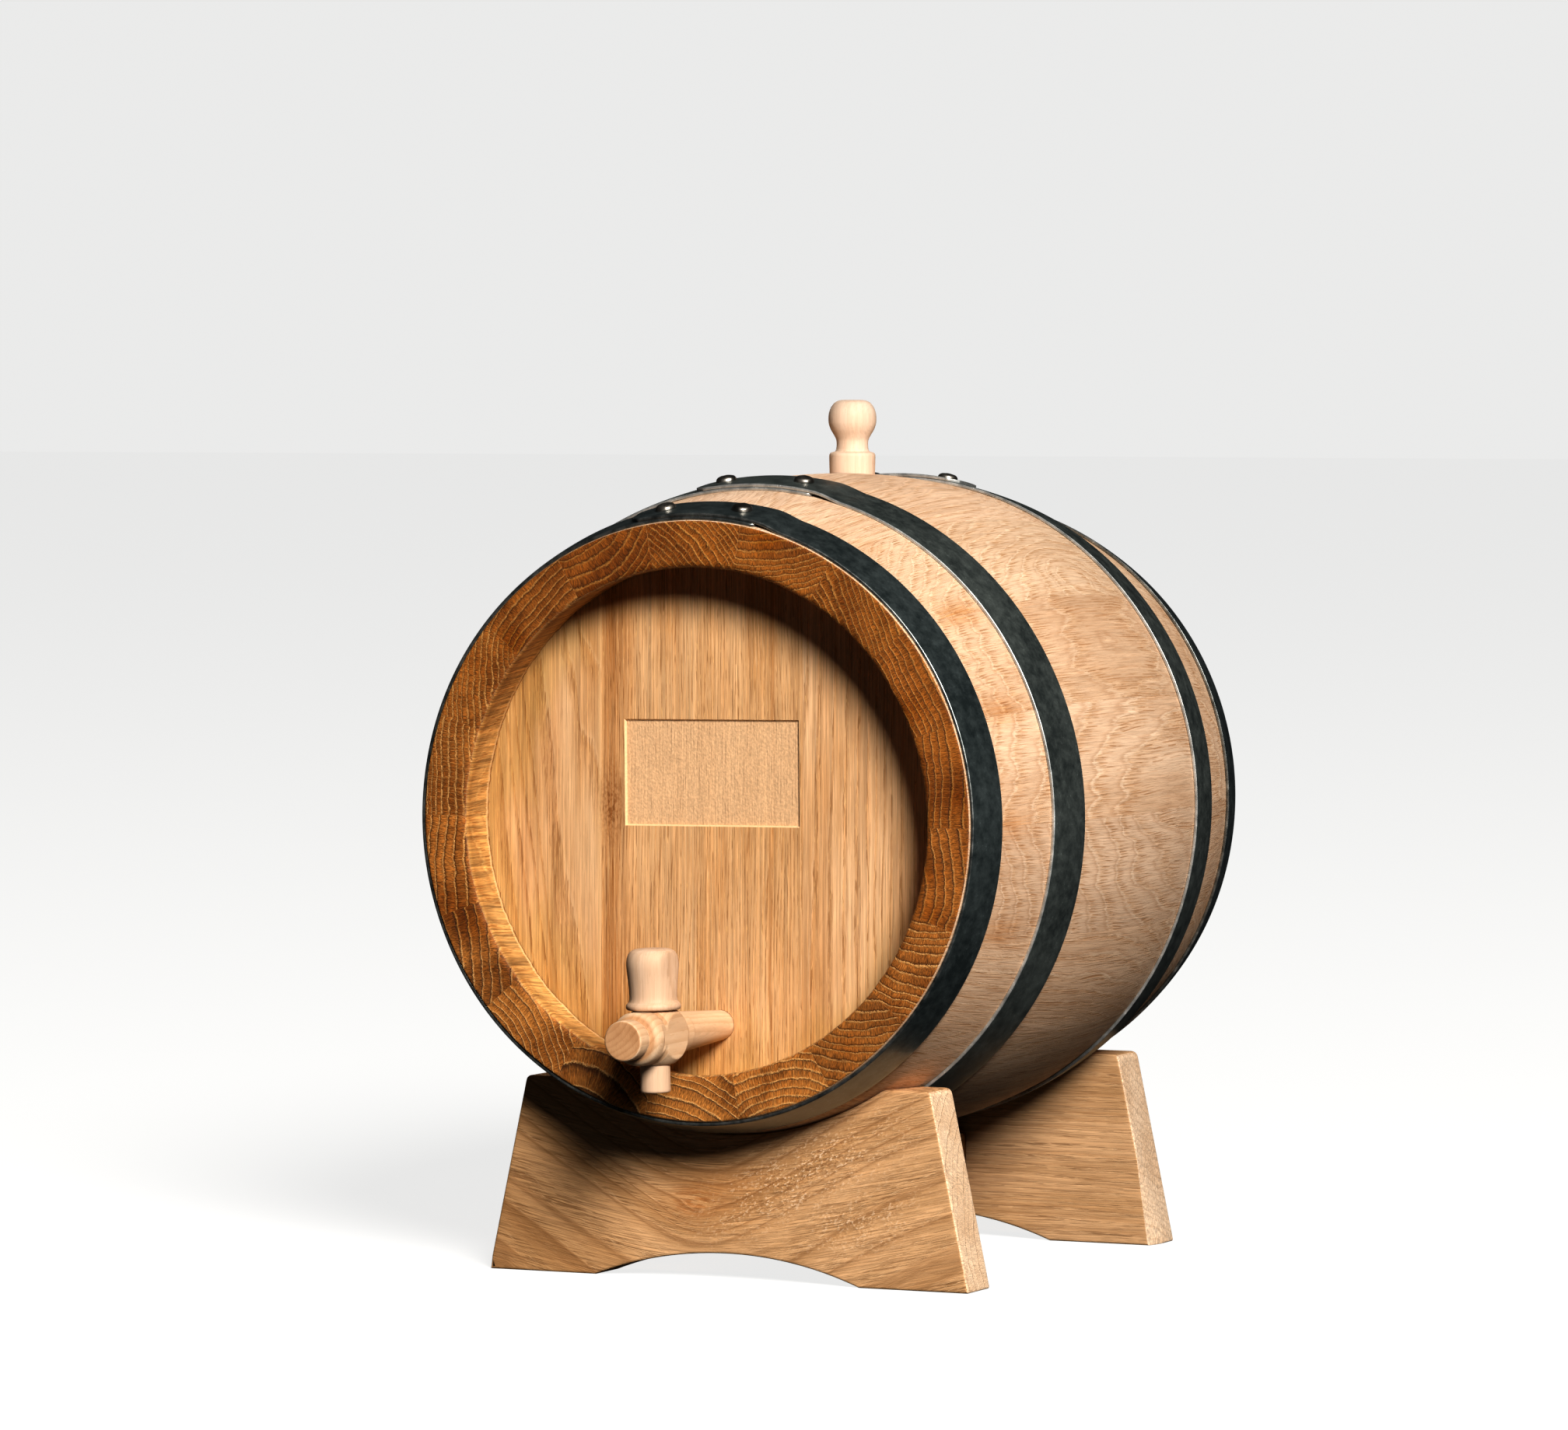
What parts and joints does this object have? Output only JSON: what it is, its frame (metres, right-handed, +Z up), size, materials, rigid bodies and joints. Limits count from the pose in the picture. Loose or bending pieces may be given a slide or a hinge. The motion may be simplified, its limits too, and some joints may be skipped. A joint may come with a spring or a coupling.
{
  "type": "oak cask liquor dispenser",
  "caption": "Small oak cask lying on a two-plank cradle, with riveted steel hoops, a bung in its top stave and a turned wooden tap in its front head.",
  "frame": {"origin": "on the surface the object stands on, under the middle of the whole object, tap included", "axes": "+Z up; the cask lies along Y with the tapped head facing -Y; +X is to the right seen from the front"},
  "size_m": [0.23, 0.2892, 0.2964],
  "materials": {
    "stave_oak": "sanded bare oak, end grain oiled",
    "head_oak": "sanded oak, light oil",
    "stand_oak": "planed bare oak",
    "dowel_beech": "bare beech",
    "bung_beech": "turned bare beech",
    "tap_wood": "turned bare fruitwood",
    "key_wood": "turned bare maple",
    "hoop_steel": "dark zinc-coated strip, satin",
    "rivet_steel": "bright domed heads"
  },
  "bodies": {
    "stand": {"front_cradle": "stand_oak", "rear_cradle": "stand_oak", "stand_rail": "stand_oak", "stand_dowels": "dowel_beech"},
    "cask": {"stave_01": "stave_oak", "stave_02": "stave_oak", "stave_03": "stave_oak", "stave_04": "stave_oak", "stave_05": "stave_oak", "stave_06": "stave_oak", "stave_07": "stave_oak", "stave_08": "stave_oak", "stave_09": "stave_oak", "stave_10": "stave_oak", "stave_11": "stave_oak", "stave_12": "stave_oak", "stave_13": "stave_oak", "stave_14": "stave_oak", "stave_15": "stave_oak", "stave_16": "stave_oak", "stave_17": "stave_oak", "stave_18": "stave_oak", "front_head_board_1": "head_oak", "front_head_board_2": "head_oak", "front_head_board_3": "head_oak", "front_head_board_4": "head_oak", "rear_head_board_1": "head_oak", "rear_head_board_2": "head_oak", "rear_head_board_3": "head_oak", "rear_head_board_4": "head_oak", "front_head_dowels": "dowel_beech", "rear_head_dowels": "dowel_beech", "front_head_hoop": "hoop_steel", "front_quarter_hoop": "hoop_steel", "rear_quarter_hoop": "hoop_steel", "rear_head_hoop": "hoop_steel", "hoop_rivets": "rivet_steel"},
    "bung": {"bung": "bung_beech"},
    "tap": {"tap_body": "tap_wood"},
    "key": {"tap_key": "key_wood"}
  },
  "joints": [
    {"name": "cask_lift", "type": "slide", "parent": "stand", "child": "cask", "axis": [0, 0, 1], "range_m": [0, 0.15]},
    {"name": "bung_pull", "type": "slide", "parent": "cask", "child": "bung", "axis": [0, 0, 1], "range_m": [0, 0.06]},
    {"name": "tap_pull", "type": "slide", "parent": "cask", "child": "tap", "axis": [0, -1, 0], "range_m": [0, 0.06]},
    {"name": "key_turn", "type": "hinge", "parent": "tap", "child": "key", "pos_m": [0, -0.1204, 0.0867], "axis": [-0.0297, 0, 0.9996], "continuous": true}
  ]
}
